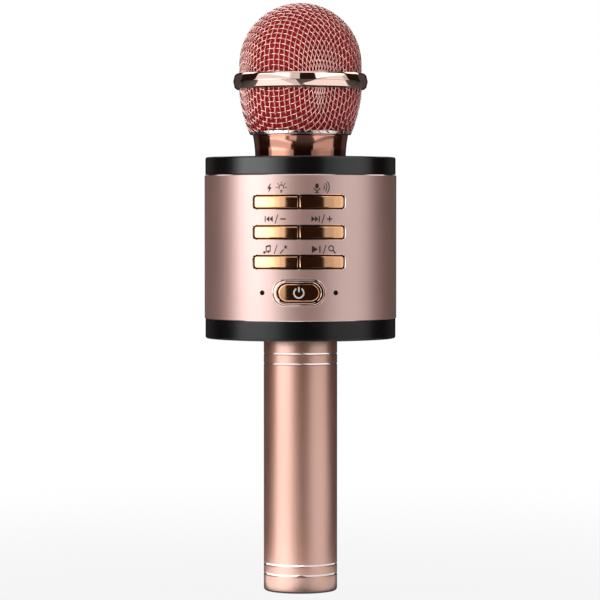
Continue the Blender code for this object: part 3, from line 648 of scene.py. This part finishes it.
next_icon = [triangle(-3.1, 0, 1.1, 1.9), triangle(-2.0, 0, 1.1, 1.9), stroke(-1.15, -0.95, -1.15, 0.95),
             shifted(slash, 0.1, 0), stroke(1.3, 0, 3.1, 0, 0.4), stroke(2.2, -0.9, 2.2, -0.2, 0.4),
             stroke(2.2, 0.2, 2.2, 0.9, 0.4)]
note_icon = [[(-3.28, -1.0), (-3.28, 1.05), (-1.62, 1.45), (-1.62, -0.7), (-1.94, -0.7), (-1.94, 0.86),
              (-2.96, 0.60), (-2.96, -1.0)],
             circle(0.42, 16, -3.71, -1.0), circle(0.42, 16, -2.37, -0.7)]
note_icon += [shifted(slash, 0.0, 0), star(0.80, 3.2, 0.70, 0.38), stroke(1.4, -1.3, 2.55, -0.05, 0.34)]
play_icon = [triangle(-2.9, 0, 2.0, 2.3), stroke(-1.35, -1.1, -1.35, 1.1, 0.38), shifted(slash, 0.2, 0),
             arc_band(0.62, 0.95, 0, 358, 2.3, 0.3, 24), stroke(2.95, -0.4, 3.8, -1.3, 0.4)]

def placed(icon, x, z, grow=1.32):
    u = SHELL_R * math.asin(x / SHELL_R)
    return [shifted([(grow * a, grow * b) for a, b in p], u, z) for p in icon]

prints = (placed(flash_icon, -9.8, 171.0) + placed(mic_icon, 10.3, 171.0)
          + placed(back_icon, -9.4, 158.3) + placed(next_icon, 9.9, 158.3)
          + placed(note_icon, -9.6, 145.8) + placed(play_icon, 10.4, 145.8))
mesh = rolled_plate("button_symbols", prints, [], 0.06, 0.0, SHELL_R + 0.035, step=0.6)
piece("button_symbols", mesh, [PRINT], "barrel", "black_plastic")

power_mark = [arc_band(1.72, 2.36, 122, 418, 0, 0, 30), stroke(0, 0.35, 0, 2.45, 0.62)]
power_mark = [shifted(p, 0, PILL_Z) for p in power_mark]
mesh = rolled_plate("power_symbol", power_mark, [], 0.10, 0.0, 41.05, step=0.5)
piece("power_symbol", mesh, [SILVER], "power_push", "nickel")


# ============================================================ handle
GROOVES = (101.2, 96.9, 11.5, 7.3)
prof, cuts = [], []
prof += [(14.9, 107.6), (15.25, 107.6), (15.55, 107.35), (15.65, 107.0)]
for z in GROOVES:
    wide = 0.46 if z > 50 else 0.60
    prof += [(15.65, z + wide + 0.15), (15.65, z + wide)]
    cuts.append(len(prof) - 1)
    prof.append((15.65 - 0.24 * wide, z - 0.10))
    prof.append((15.65 - 0.75 * wide, z - 0.16))
    prof.append((15.65 - 0.55 * wide, z - wide + 0.06))
    cuts.append(len(prof) - 1)
    prof += [(15.65, z - wide), (15.65, z - wide - 0.15)]
prof += [(15.65, 0.95), (15.65, 0.80)]
cuts.append(len(prof) - 1)
prof += [(15.2, 0.12)]
prof += [(15.0, 0.0), (14.55, 0.0), (14.4, 0.15), (14.4, 100.6)]
z = 100.6
while z < 106.9:                                   # female thread
    prof += [(14.4, z + 0.35), (14.75, z + 0.75), (14.75, z + 0.95), (14.4, z + 1.35)]
    z += THREAD
prof += [(14.5, 107.5)]
mesh = lathe_mesh("handle_barrel", prof, 224, group=lambda k: 1 if k in cuts else 0)
piece("handle_barrel", mesh, [COPPER, CUT], "handle", "copper_rose", "handle_tube")

mesh = lathe_mesh("base_cap", [
    (0, 6.0), (4.2, 6.0), (4.2, 3.8), (12.7, 3.8), (12.7, 6.0), (14.05, 6.0), (14.1, 5.8),
    (14.1, 0.55), (13.95, 0.2), (13.6, 0.0), (11.2, 0.0), (11.0, 0.35), (10.4, 0.35),
    (10.2, 0.0), (5.6, 0.0), (5.3, 0.5), (0, 0.5)], 160)
piece("base_cap", mesh, [BLACK], "handle", "black_plastic", "end_cap")


def threaded(name, prof_root, r_root, r_crest, z0, z1, segs=96, per_turn=96):
    """Helical ridge of a screw thread as its own closed sweep."""
    turns = (z1 - z0) / THREAD
    n = int(per_turn * turns)
    verts, faces = [], []
    for i in range(n + 1):
        t = i / n
        a = math.tau * turns * t
        z = z0 + (z1 - z0) * t
        grow = min(1.0, min(t, 1 - t) * turns * 3)
        crest = r_root + (r_crest - r_root) * max(0.05, grow)
        sunk = r_root - 0.12 * (1 if r_crest > r_root else -1)
        for r, dz in ((sunk, -0.62), (crest, -0.16), (crest, 0.16), (sunk, 0.62)):
            verts.append((r * math.sin(a) * MM, -r * math.cos(a) * MM, (z + dz) * MM))
    for i in range(n):
        a, b = 4 * i, 4 * (i + 1)
        for k in range(4):
            m = (k + 1) % 4
            faces.append((a + k, b + k, b + m, a + m))
    faces.append((3, 2, 1, 0))
    faces.append(tuple(4 * n + k for k in range(4)))
    mesh = bpy.data.meshes.new(name)
    mesh.from_pydata(verts, [], faces)
    bm = bmesh.new()
    bm.from_mesh(mesh)
    bmesh.ops.recalc_face_normals(bm, faces=bm.faces)
    bm.to_mesh(mesh)
    bm.free()
    smooth(mesh, 30)
    return mesh


core = lathe_mesh("neck_core", [
    (20.8, 112.0), (21.0, 111.8), (21.0, 110.0), (13.45, 110.0), (13.45, 101.9), (12.9, 101.4),
    (3.0, 101.4), (3.0, 103.0), (12.0, 103.0), (12.0, 112.0)], 144)
ridge = threaded("neck_ridge", None, 13.45, 13.9, 102.6, 107.4)
piece("handle_neck_thread", joined("handle_neck_thread", [core, ridge]), [BLACK], "barrel",
      "black_plastic", "handle_neck")


# ============================================================ collar, ring and head
mesh = lathe_mesh("collar_plated", [
    (19.30, 184.72), (19.302, 185.0), (19.325, 186.0), (19.375, 187.0), (19.445, 188.0),
    (19.54, 189.0), (19.655, 190.0), (19.79, 191.0), (19.95, 192.0), (20.12, 193.0),
    (20.22, 193.52), (20.22, 193.66), (20.15, 193.74), (20.0, 193.75), (19.93, 193.66),
    (19.88, 193.0), (19.7, 192.5), (19.7, 191.4),
    (17.65, 191.4), (17.6, 186.0), (14.4, 186.0), (14.4, 178.6), (16.3, 178.6), (16.3, 184.72)],
    256, degrees=24)
piece("collar_plated", mesh, [COLLAR], "barrel", "plated_rose", "neck_collar")

half = [(28.60, 0.05), (28.56, 0.22), (28.05, 2.42), (27.95, 2.62), (27.80, 2.78),
        (27.30, 3.22), (27.15, 3.32), (26.95, 3.36), (26.25, 3.38), (26.15, 3.26), (26.15, 1.1),
        (24.95, 1.1)]
prof = [(r, RING_MID - z) for r, z in half[::-1]] + [(r, RING_MID + z) for r, z in half]
mesh = lathe_mesh("ring_plated", prof, 288, degrees=14)
piece("ring_plated", mesh, [PLATED], "head", "plated_rose", "grille_band")

core = lathe_mesh("head_ring", [
    (19.9, 194.7), (20.3, 195.25), (21.35, 195.42), (21.47, 195.38), (21.51, 195.2),
    (21.505, 194.6), (21.49, 194.15), (21.43, 194.0), (21.3, 193.93), (19.95, 193.9),
    (19.75, 193.85), (19.65, 193.6), (19.65, 193.25), (19.5, 193.2), (16.85, 193.2),
    (16.85, 187.9),
    (16.5, 187.6), (16.0, 187.6), (16.0, 194.6)], 192, degrees=24)
ridge = threaded("head_ridge", None, 16.85, 17.3, 188.6, 192.6)
piece("head_thread", joined("head_thread", [core, ridge]), [EDGE], "head", "plated_rose",
      "grille_thread_ring")


# ---- woven wire: a square net draped over each half -------------------------------
class Profile:
    """Meridian of a surface of revolution by arc length from its pole."""

    def __init__(self, pts, step=0.05):
        s, r, z = [0.0], [pts[0][0]], [pts[0][1]]
        for (r0, z0), (r1, z1) in zip(pts, pts[1:]):
            ln = math.hypot(r1 - r0, z1 - z0)
            n = max(1, int(ln / step))
            for i in range(1, n + 1):
                s.append(s[-1] + ln / n)
                r.append(r0 + (r1 - r0) * i / n)
                z.append(z0 + (z1 - z0) * i / n)
        self.s, self.r, self.z = map(np.array, (s, r, z))
        k = 15                                      # soften the polyline's corners
        pad = np.ones(2 * k + 1) / (2 * k + 1)
        def soft(a, mirror):
            left = (2 * a[0] - a[k:0:-1]) if mirror else a[k:0:-1]
            right = 2 * a[-1] - a[-2:-k - 2:-1]
            return np.convolve(np.concatenate([left, a, right]), pad, "valid")
        self.r, self.z = soft(self.r, True), soft(self.z, False)
        self.dr = np.gradient(self.r, self.s)
        self.dz = np.gradient(self.z, self.s)

    def at(self, s):
        return np.interp(s, self.s, self.r), np.interp(s, self.s, self.z)

    def slope(self, s):
        return np.interp(s, self.s, self.dr), np.interp(s, self.s, self.dz)

    def nearest(self, r, z):
        return self.s[np.argmin((self.r - r) ** 2 + (self.z - z) ** 2)]


def drape(prof, pitch, limit):
    """Nodes of one quarter of a net whose sides all have the same length."""
    def point(s, th):
        r, z = prof.at(s)
        return np.array([r * math.cos(th), r * math.sin(th), z])
    n = int(limit / pitch) + 2
    node = {(0, 0): (0.0, 0.0)}
    s = 0.0
    for i in range(1, n + 1):
        lo, hi = s, s + 2 * pitch
        p0 = point(s, 0.0)
        for _ in range(40):
            mid = (lo + hi) / 2
            if np.linalg.norm(point(mid, 0.0) - p0) < pitch:
                lo = mid
            else:
                hi = mid
        s = (lo + hi) / 2
        if s > limit:
            break
        node[(i, 0)] = (s, 0.0)
        node[(0, i)] = (s, math.pi / 2)
    for total in range(2, 2 * n + 1):
        for i in range(1, total):
            j = total - i
            if (i - 1, j) not in node or (i, j - 1) not in node or (i - 1, j - 1) not in node:
                continue
            a, b = point(*node[(i - 1, j)]), point(*node[(i, j - 1)])
            d = point(*node[(i - 1, j - 1)])
            gap = np.linalg.norm(a - b)
            if gap > 1.985 * pitch:
                continue
            guess = a + b - d
            th = math.atan2(guess[1], guess[0])
            s = prof.nearest(math.hypot(guess[0], guess[1]), guess[2])
            s = max(s, min(node[(i - 1, j)][0], node[(i, j - 1)][0]) + 0.25 * pitch)
            ok = False
            for _ in range(40):
                x = point(s, th)
                fa, fb = np.linalg.norm(x - a), np.linalg.norm(x - b)
                e = np.array([fa - pitch, fb - pitch])
                if np.abs(e).max() < 1e-6:
                    ok = True
                    break
                r, _z = prof.at(s)
                dr, dz = prof.slope(s)
                xs = np.array([dr * math.cos(th), dr * math.sin(th), dz])
                xt = np.array([-r * math.sin(th), r * math.cos(th), 0.0])
                jac = np.array([[np.dot(x - a, xs) / fa, np.dot(x - a, xt) / fa],
                                [np.dot(x - b, xs) / fb, np.dot(x - b, xt) / fb]])
                det = np.linalg.det(jac)
                if abs(det) < 1e-6:
                    break
                step = np.linalg.solve(jac, -e)
                step[0] = max(-0.8, min(0.8, step[0]))
                s += step[0]
                th += max(-0.06, min(0.06, step[1]))
            if not ok or s > limit or s <= 0 or th < -0.02 or th > math.pi / 2 + 0.02:
                continue
            x = point(s, th)
            if np.linalg.norm(x - d) < 0.45 * pitch:      # folded back on itself
                continue
            node[(i, j)] = (s, th)
    full = {}
    for (i, j), (s, th) in node.items():
        for si in (1, -1):
            for sj in (1, -1):
                full[(si * i, sj * j)] = (s, math.atan2(sj * math.sin(th), si * math.cos(th)))
    return full


def wire_mesh(name, prof, nodes, keep, outward, sides=6, per=5):
    """Round wires through a net's nodes, passing over and under each other."""
    turn = math.radians(NET_TURN) - math.pi / 2
    span = max(max(abs(i), abs(j)) for i, j in nodes)
    verts, faces = [], []

    def place(s, th):
        r, z = prof.at(s)
        return np.array([r * math.cos(th + turn), r * math.sin(th + turn), z])

    for family in (0, 1):
        for i in range(-span, span + 1):
            runs, run = [], []
            for j in range(-span, span + 1):
                key = (i, j) if family == 0 else (j, i)
                if key in nodes:
                    run.append((place(*nodes[key]), 1 if ((i + j) % 2 == 0) == (family == 0) else -1))
                else:
                    if len(run) > 1:
                        runs.append(run)
                    run = []
            if len(run) > 1:
                runs.append(run)
            for run in runs:
                pts = np.array([p for p, _ in run])
                sign = [q for _, q in run]
                ext = np.vstack([2 * pts[0] - pts[1], pts, 2 * pts[-1] - pts[-2]])
                line, off = [], []
                for k in range(len(pts) - 1):
                    p0, p1, p2, p3 = ext[k], ext[k + 1], ext[k + 2], ext[k + 3]
                    for m in range(per):
                        t = m / per
                        line.append(0.5 * (2 * p1 + (p2 - p0) * t + (2 * p0 - 5 * p1 + 4 * p2 - p3) * t * t
                                           + (3 * p1 - p0 - 3 * p2 + p3) * t ** 3))
                        off.append(sign[k] * math.cos(math.pi * t))
                line.append(pts[-1])
                off.append(sign[-1])
                line, off = np.array(line), np.array(off)
                rad = np.hypot(line[:, 0], line[:, 1])
                s = np.array([prof.nearest(a, b) for a, b in zip(rad, line[:, 2])])
                pr, pz = prof.at(s)
                dr, dz = prof.slope(s)
                ln = np.hypot(dr, dz)
                nr, nz = -dz / ln, dr / ln
                if not outward:
                    nr, nz = -nr, -nz
                ux = np.where(rad > 1e-6, line[:, 0] / np.maximum(rad, 1e-6), 1.0)
                uy = np.where(rad > 1e-6, line[:, 1] / np.maximum(rad, 1e-6), 0.0)
                nrm = np.stack([nr * ux, nr * uy, nz], axis=1)
                base = np.stack([pr * ux, pr * uy, pz], axis=1) + nrm * (off * CRIMP)[:, None]
                good = keep(pr, pz)
                start = None
                for k in range(len(base) + 1):
                    if k < len(base) and good[k]:
                        if start is None:
                            start = k
                        continue
                    if start is not None and k - start > 2:
                        sweep(verts, faces, base[start:k], nrm[start:k], sides)
                    start = None
    mesh = bpy.data.meshes.new(name)
    mesh.from_pydata((np.array(verts) * MM).tolist(), [], faces)
    mesh.shade_smooth()
    return mesh


def sweep(verts, faces, line, nrm, sides):
    tan = np.gradient(line, axis=0)
    tan /= np.linalg.norm(tan, axis=1)[:, None]
    up = nrm - tan * (nrm * tan).sum(axis=1)[:, None]
    up /= np.linalg.norm(up, axis=1)[:, None]
    side = np.cross(tan, up)
    first = len(verts)
    for c, u, w in zip(line, up, side):
        for k in range(sides):
            a = math.tau * k / sides
            verts.append(tuple(c + WIRE_R * (u * math.cos(a) + w * math.sin(a))))
    for i in range(len(line) - 1):
        a, b = first + i * sides, first + (i + 1) * sides
        for k in range(sides):
            m = (k + 1) % sides
            faces.append((a + k, b + k, b + m, a + m)[::-1])
    faces.append(tuple(first + k for k in range(sides)))
    faces.append(tuple(first + (len(line) - 1) * sides + k for k in reversed(range(sides))))


mid_r = DOME_R - WIRE_R - CRIMP - 0.02
dome_pts = [(mid_r * math.sin(math.pi / 2 * i / 60), DOME_C + mid_r * math.cos(math.pi / 2 * i / 60))
            for i in range(61)] + [(mid_r, 214.0)]
dome_prof = Profile(dome_pts)
dome_net = drape(dome_prof, NET_PITCH, math.pi / 2 * mid_r + 8.0)
mesh = wire_mesh("dome_mesh", dome_prof, dome_net, lambda r, z: z > 217.9, True)
piece("dome_mesh", mesh, [WIRE], "head", "mesh_wire", "grille_dome")

shrink = WIRE_R + CRIMP + 0.02
bowl_pts = [(0.0, 193.95), (20.3, 193.95), (20.9, 194.1), (21.35, 194.5)]
bowl_pts += [(r - shrink, z) for r, z in BOWL[1:]] + [(26.1 - shrink, 219.0)]
bowl_prof = Profile(bowl_pts)
bowl_net = drape(bowl_prof, NET_PITCH, bowl_prof.nearest(26.1 - shrink, 217.5))
mesh = wire_mesh("bowl_mesh", bowl_prof, bowl_net,
                 lambda r, z: (z < 215.2) & (r > 20.95), False)
piece("bowl_mesh", mesh, [WIRE], "head", "mesh_wire", "grille_bowl")

# ---- foam liner ------------------------------------------------------------------
foam_pts = [(15.6, 195.1), (19.0, 195.1), (20.2, 195.5)]
foam_pts += [(r - 1.42, z) for r, z in BOWL[1:]] + [(24.62, 216.0), (24.62, 220.0)]
foam_pts += [(24.62 * math.cos(math.pi / 2 * i / 40) if i < 40 else 0.0,
              DOME_C + 24.62 * math.sin(math.pi / 2 * i / 40)) for i in range(0, 41)]
dense = []
for (r0, z0), (r1, z1) in zip(foam_pts, foam_pts[1:]):
    n = max(1, int(math.hypot(r1 - r0, z1 - z0) / 0.7))
    dense += [(r0 + (r1 - r0) * i / n, z0 + (z1 - z0) * i / n) for i in range(n)]
dense.append(foam_pts[-1])
foam_in = [(0.0, 241.6)] + [(17.6 * math.sin(math.pi / 2 * i / 8), 224.0 + 17.6 * math.cos(math.pi / 2 * i / 8))
                            for i in range(1, 9)] + [(17.6, 204.0), (15.6, 200.0)]
mesh = lathe_mesh("foam_liner_soft", foam_in[:1] + foam_in[1:] + dense, 200, degrees=60)
for v in mesh.vertices:
    flat_r = math.hypot(v.co.x, v.co.y)
    if flat_r > 0.0185 or v.co.z > 0.243:
        d = noise.noise(v.co * 900.0) * 0.5 + noise.noise(v.co * 2100.0) * 0.5
        out = Vector((v.co.x, v.co.y, max(0.0, v.co.z - DOME_C * MM))).normalized()
        v.co += out * (d * 0.16 - 0.06) * MM
ob = piece("foam_liner_soft", mesh, [FOAM], "head", "foam", "foam_liner")


# ============================================================ stage, light and camera
def floor_material():
    m = bpy.data.materials.new("studio_floor")
    m.use_nodes = True
    nt = m.node_tree
    bsdf = nt.nodes["Principled BSDF"]
    bsdf.inputs["Base Color"].default_value = (0.18, 0.18, 0.18, 1)
    bsdf.inputs["Roughness"].default_value = 0.8
    bsdf.inputs["Specular IOR Level"].default_value = 0.1
    coord = nt.nodes.new("ShaderNodeTexCoord")
    ln = nt.nodes.new("ShaderNodeVectorMath")
    ln.operation = "LENGTH"
    nt.links.new(coord.outputs["Object"], ln.inputs[0])
    ramp = nt.nodes.new("ShaderNodeMapRange")
    ramp.interpolation_type = "SMOOTHSTEP"
    ramp.inputs["From Min"].default_value = 0.06
    ramp.inputs["From Max"].default_value = 0.60
    ramp.inputs["To Min"].default_value = 0.90
    ramp.inputs["To Max"].default_value = 1.0
    nt.links.new(ln.outputs["Value"], ramp.inputs["Value"])
    path = nt.nodes.new("ShaderNodeLightPath")
    share = nt.nodes.new("ShaderNodeMath")
    share.operation = "MULTIPLY"
    nt.links.new(ramp.outputs["Result"], share.inputs[0])
    nt.links.new(path.outputs["Is Camera Ray"], share.inputs[1])
    glow = nt.nodes.new("ShaderNodeEmission")
    glow.inputs["Color"].default_value = (1, 1, 1, 1)
    glow.inputs["Strength"].default_value = 1.0
    mix = nt.nodes.new("ShaderNodeMixShader")
    out = nt.nodes["Material Output"]
    nt.links.new(share.outputs[0], mix.inputs[0])
    nt.links.new(bsdf.outputs[0], mix.inputs[1])
    nt.links.new(glow.outputs[0], mix.inputs[2])
    nt.links.new(mix.outputs[0], out.inputs["Surface"])
    return m

bm = bmesh.new()
bmesh.ops.create_circle(bm, cap_ends=True, segments=96, radius=1.1)
mesh = bpy.data.meshes.new("studio_floor")
bm.to_mesh(mesh)
bm.free()
floor = bpy.data.objects.new("studio_floor", mesh)
mesh.materials.append(floor_material())
floor.location = (0, 0, -0.0062)           # clear of the handle when it is let down
scene.collection.objects.link(floor)

world = bpy.data.worlds.new("studio")
scene.world = world
world.use_nodes = True
nt = world.node_tree
nt.nodes.clear()
out = nt.nodes.new("ShaderNodeOutputWorld")
seen = nt.nodes.new("ShaderNodeBackground")
seen.inputs["Color"].default_value = (1, 1, 1, 1)
seen.inputs["Strength"].default_value = 1.0
fill = nt.nodes.new("ShaderNodeBackground")
fill.inputs["Color"].default_value = (1.0, 0.52, 0.38, 1)
fill.inputs["Strength"].default_value = 0.018
path = nt.nodes.new("ShaderNodeLightPath")
mix = nt.nodes.new("ShaderNodeMixShader")
nt.links.new(path.outputs["Is Camera Ray"], mix.inputs[0])
nt.links.new(fill.outputs[0], mix.inputs[1])
nt.links.new(seen.outputs[0], mix.inputs[2])
nt.links.new(mix.outputs[0], out.inputs["Surface"])


def panel(name, azimuth, dist, width, height, z_mid, radiance, colour=(1, 1, 1)):
    """Soft box standing round the object, aimed level at its axis."""
    a = math.radians(azimuth)
    at = Vector((dist * math.sin(a), -dist * math.cos(a), z_mid))
    lamp = bpy.data.lights.new(name, "AREA")
    lamp.shape = "RECTANGLE"
    lamp.size, lamp.size_y = width, height
    lamp.energy = radiance * math.pi * width * height
    lamp.color = colour
    ob = bpy.data.objects.new(name, lamp)
    ob.location = at
    ob.rotation_euler = (Vector((0, 0, z_mid)) - at).to_track_quat("-Z", "Y").to_euler()
    ob.visible_camera = False
    scene.collection.objects.link(ob)
    return ob


def card(name, azimuth, dist, width, depth, radiance):
    """Lit card lying on the table, facing up."""
    ob = panel(name, azimuth, dist, width, depth, 0.0, radiance)
    ob.location.z = 0.0004
    ob.rotation_euler = (math.pi, 0, math.radians(azimuth))
    return ob


def fan(name, inner, outer, dist, height, z_mid, radiance):
    """Panel that spans two azimuths, seen from the axis."""
    half = math.radians(abs(outer - inner) / 2)
    return panel(name, (inner + outer) / 2, dist, 2 * dist * math.tan(half), height, z_mid,
                 radiance)


fan("key_wide", -16.5, -85.0, 0.70, 1.00, 0.60, 0.90)
for k, inner in enumerate((-24.0, -29.0, -34.0, -39.0)):     # brighter towards the left
    fan("key_core_%d" % k, inner, -76.0, 0.712 + 0.003 * k, 0.36, 0.28, 0.46)
fan("key_low", -23.0, -80.0, 0.70, 0.10, 0.05, 0.80)
fan("key_foot", -19.0, -80.0, 0.705, 0.015, 0.0075, 1.2)
fan("key_high", -20.0, -84.0, 0.70, 0.50, 0.95, 0.85)
fan("shoulder", -0.5, -16.5, 0.75, 0.55, 0.72, 0.70)
fan("fill_right", 28.5, 93.0, 0.80, 1.00, 0.60, 0.53)
fan("fill_core", 40.0, 84.0, 0.82, 0.98, 0.60, 0.20)
fan("fill_edge", 48.0, 82.0, 0.824, 0.98, 0.60, 0.18)
fan("fill_low", 33.0, 90.0, 0.80, 0.10, 0.05, 0.55)
fan("fill_high", 30.0, 90.0, 0.80, 0.50, 0.95, 1.1)
card("card_left", -57.0, 0.45, 0.46, 0.5, 1.05)
card("card_middle", -18.0, 0.45, 0.20, 0.5, 0.6)
card("card_right", 60.0, 0.45, 0.58, 0.5, 0.9)
card("near_left", -56.0, 0.11, 0.12, 0.18, 1.5)
card("near_right", 60.0, 0.11, 0.12, 0.18, 0.65)
top = panel("overhead", 0.0, 0.02, 0.7, 0.7, 1.15, 1.0)
top.rotation_euler = (0, 0, 0)
for name, az in (("rear_left", -150.0), ("rear_right", 150.0)):
    lamp = panel(name, az, 0.85, 0.5, 0.35, 0.85, 1.6)
    lamp.rotation_euler = (Vector((0, 0, 0.15)) - lamp.location).to_track_quat("-Z", "Y").to_euler()

panel("rim_left", -140.0, 0.90, 0.50, 0.80, 0.40, 0.05)
panel("rim_right", 140.0, 0.90, 0.50, 0.80, 0.40, 0.05)

scene.view_settings.view_transform = "Standard"
scene.view_settings.look = "None"

cam_data = bpy.data.cameras.new("camera")
cam_data.sensor_width = 36.0
cam_data.lens = 176.0
cam_data.clip_start = 0.05
cam = bpy.data.objects.new("camera", cam_data)
AZ, EL, DIST = math.radians(0.95), math.radians(1.71), 1.25
TARGET = Vector((-0.0002, 0.0, 0.1237))
cam.location = TARGET + DIST * Vector((math.sin(AZ) * math.cos(EL), -math.cos(AZ) * math.cos(EL),
                                       math.sin(EL)))
cam.rotation_euler = (TARGET - cam.location).to_track_quat("-Z", "Y").to_euler()
scene.collection.objects.link(cam)
scene.camera = cam

bpy.context.view_layer.update()
